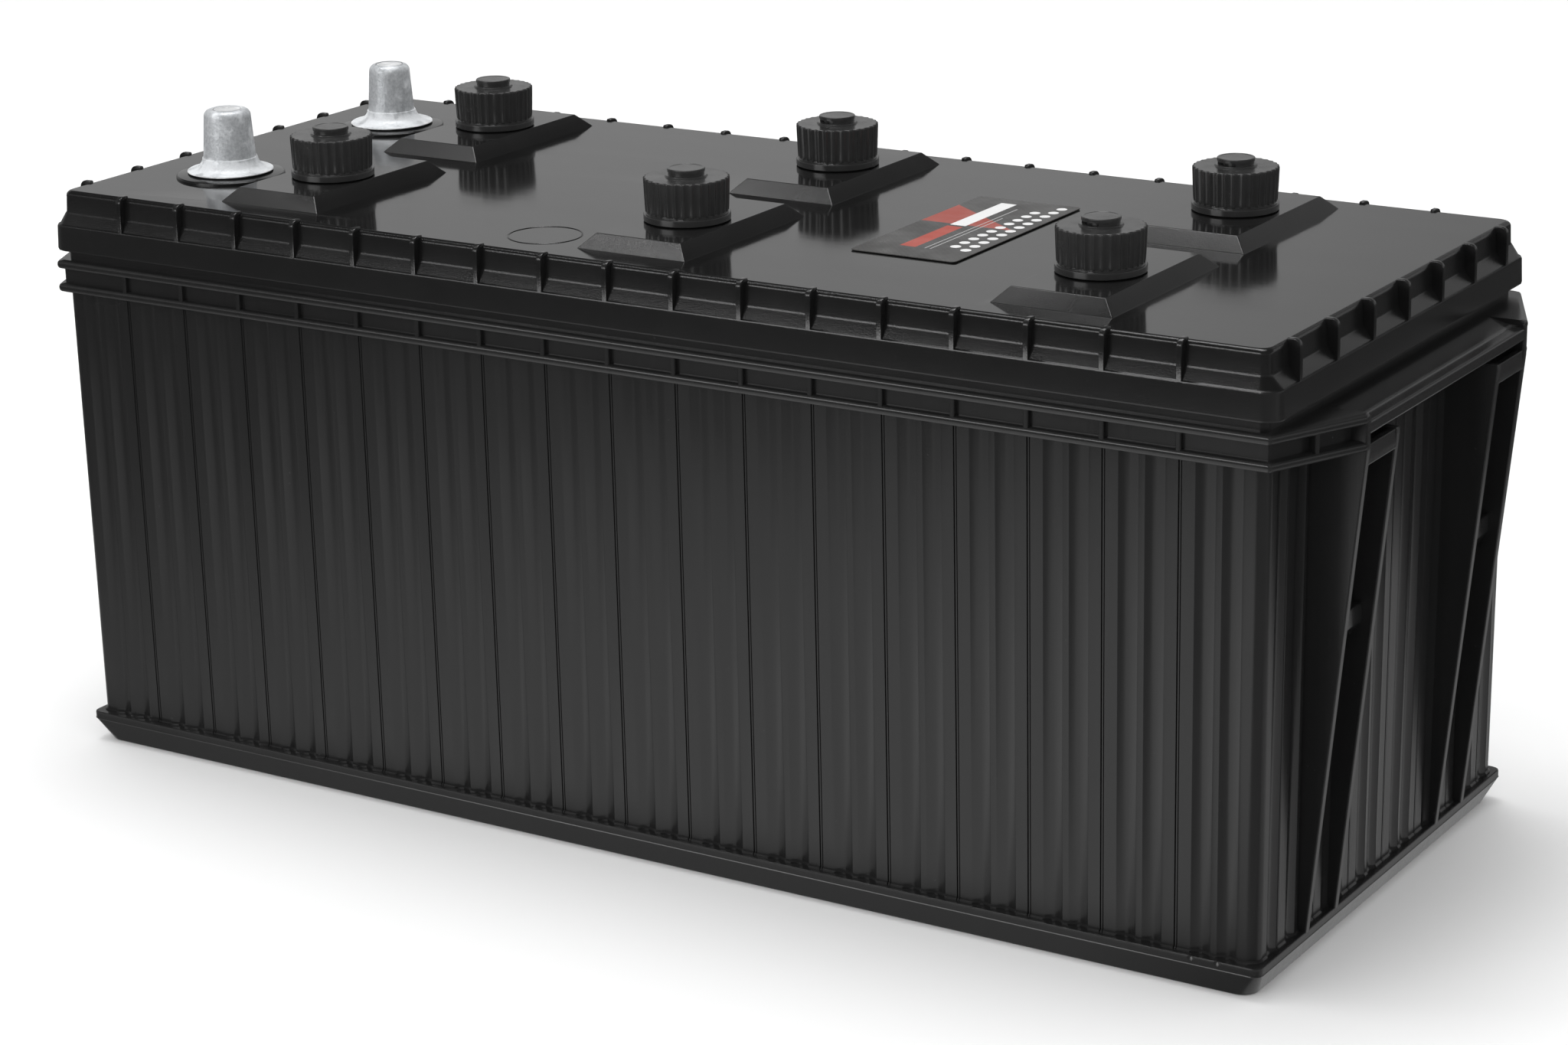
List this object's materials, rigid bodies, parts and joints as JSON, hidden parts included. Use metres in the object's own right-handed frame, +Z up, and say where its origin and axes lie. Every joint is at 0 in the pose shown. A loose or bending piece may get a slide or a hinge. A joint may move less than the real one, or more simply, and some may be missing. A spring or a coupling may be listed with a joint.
{
  "type": "lead-acid battery",
  "caption": "Long flooded lead-acid battery: ribbed plastic case with lifting ledges, glossy cover, screw-out vent plugs on raised pads and tapered lead terminals at one end.",
  "frame": {"origin": "centre of the base's underside, on the floor", "axes": "+X runs along the case away from the terminal end, -Y is the long side next to the positive terminal, +Z is up"},
  "size_m": [0.527, 0.2058, 0.2412],
  "materials": {
    "case_plastic": "satin black moulded polypropylene",
    "cover_plastic": "glossy black moulded polypropylene",
    "plug_plastic": "glossy black moulded plastic, fluted grip",
    "gasket_rubber": "soft black rubber",
    "label_film": "printed dark film with a red band, blank of words",
    "cast_lead": "dull grey cast lead",
    "positive_paste": "dark brown lead dioxide paste",
    "negative_paste": "grey sponge lead paste",
    "separator_sheet": "off-white porous sheet"
  },
  "bodies": {
    "container": {"case": "case_plastic", "cover": "cover_plastic", "label": "label_film", "positive_terminal": "cast_lead", "negative_terminal": "cast_lead", "positive_post": "cast_lead", "negative_post": "cast_lead", "positive_plates_1": "positive_paste", "negative_plates_1": "negative_paste", "separator_pack_1": "separator_sheet", "positive_plates_2": "positive_paste", "negative_plates_2": "negative_paste", "separator_pack_2": "separator_sheet", "positive_plates_3": "positive_paste", "negative_plates_3": "negative_paste", "separator_pack_3": "separator_sheet", "positive_plates_4": "positive_paste", "negative_plates_4": "negative_paste", "separator_pack_4": "separator_sheet", "positive_plates_5": "positive_paste", "negative_plates_5": "negative_paste", "separator_pack_5": "separator_sheet", "positive_plates_6": "positive_paste", "negative_plates_6": "negative_paste", "separator_pack_6": "separator_sheet", "intercell_connector_1": "cast_lead", "intercell_connector_2": "cast_lead", "intercell_connector_3": "cast_lead", "intercell_connector_4": "cast_lead", "intercell_connector_5": "cast_lead"},
    "vent_seal_1": {"vent_gasket_1": "gasket_rubber"},
    "vent_cap_1": {"vent_plug_1": "plug_plastic"},
    "vent_seal_2": {"vent_gasket_2": "gasket_rubber"},
    "vent_cap_2": {"vent_plug_2": "plug_plastic"},
    "vent_seal_3": {"vent_gasket_3": "gasket_rubber"},
    "vent_cap_3": {"vent_plug_3": "plug_plastic"},
    "vent_seal_4": {"vent_gasket_4": "gasket_rubber"},
    "vent_cap_4": {"vent_plug_4": "plug_plastic"},
    "vent_seal_5": {"vent_gasket_5": "gasket_rubber"},
    "vent_cap_5": {"vent_plug_5": "plug_plastic"},
    "vent_seal_6": {"vent_gasket_6": "gasket_rubber"},
    "vent_cap_6": {"vent_plug_6": "plug_plastic"}
  },
  "joints": [
    {"name": "vent_1_lift", "type": "slide", "parent": "container", "child": "vent_seal_1", "axis": [0, 0, 1], "range_m": [0, 0.0162]},
    {"name": "vent_1_turn", "type": "hinge", "parent": "vent_seal_1", "child": "vent_cap_1", "pos_m": [-0.1558, -0.0505, 0.221], "axis": [0, 0, 1], "range_deg": [0, 1440]},
    {"name": "vent_2_lift", "type": "slide", "parent": "container", "child": "vent_seal_2", "axis": [0, 0, 1], "range_m": [0, 0.0162]},
    {"name": "vent_2_turn", "type": "hinge", "parent": "vent_seal_2", "child": "vent_cap_2", "pos_m": [0.0002, -0.0505, 0.221], "axis": [0, 0, 1], "range_deg": [0, 1440]},
    {"name": "vent_3_lift", "type": "slide", "parent": "container", "child": "vent_seal_3", "axis": [0, 0, 1], "range_m": [0, 0.0162]},
    {"name": "vent_3_turn", "type": "hinge", "parent": "vent_seal_3", "child": "vent_cap_3", "pos_m": [0.1614, -0.0505, 0.221], "axis": [0, 0, 1], "range_deg": [0, 1440]},
    {"name": "vent_4_lift", "type": "slide", "parent": "container", "child": "vent_seal_4", "axis": [0, 0, 1], "range_m": [0, 0.0162]},
    {"name": "vent_4_turn", "type": "hinge", "parent": "vent_seal_4", "child": "vent_cap_4", "pos_m": [0.1614, 0.0505, 0.221], "axis": [0, 0, 1], "range_deg": [0, 1440]},
    {"name": "vent_5_lift", "type": "slide", "parent": "container", "child": "vent_seal_5", "axis": [0, 0, 1], "range_m": [0, 0.0162]},
    {"name": "vent_5_turn", "type": "hinge", "parent": "vent_seal_5", "child": "vent_cap_5", "pos_m": [0.0002, 0.0505, 0.221], "axis": [0, 0, 1], "range_deg": [0, 1440]},
    {"name": "vent_6_lift", "type": "slide", "parent": "container", "child": "vent_seal_6", "axis": [0, 0, 1], "range_m": [0, 0.0162]},
    {"name": "vent_6_turn", "type": "hinge", "parent": "vent_seal_6", "child": "vent_cap_6", "pos_m": [-0.1558, 0.0505, 0.221], "axis": [0, 0, 1], "range_deg": [0, 1440]}
  ],
  "couplings": [
    {"joint": "vent_1_lift", "follows": "vent_1_turn", "m_per_rad": 0.00063662},
    {"joint": "vent_2_lift", "follows": "vent_2_turn", "m_per_rad": 0.00063662},
    {"joint": "vent_3_lift", "follows": "vent_3_turn", "m_per_rad": 0.00063662},
    {"joint": "vent_4_lift", "follows": "vent_4_turn", "m_per_rad": 0.00063662},
    {"joint": "vent_5_lift", "follows": "vent_5_turn", "m_per_rad": 0.00063662},
    {"joint": "vent_6_lift", "follows": "vent_6_turn", "m_per_rad": 0.00063662}
  ]
}
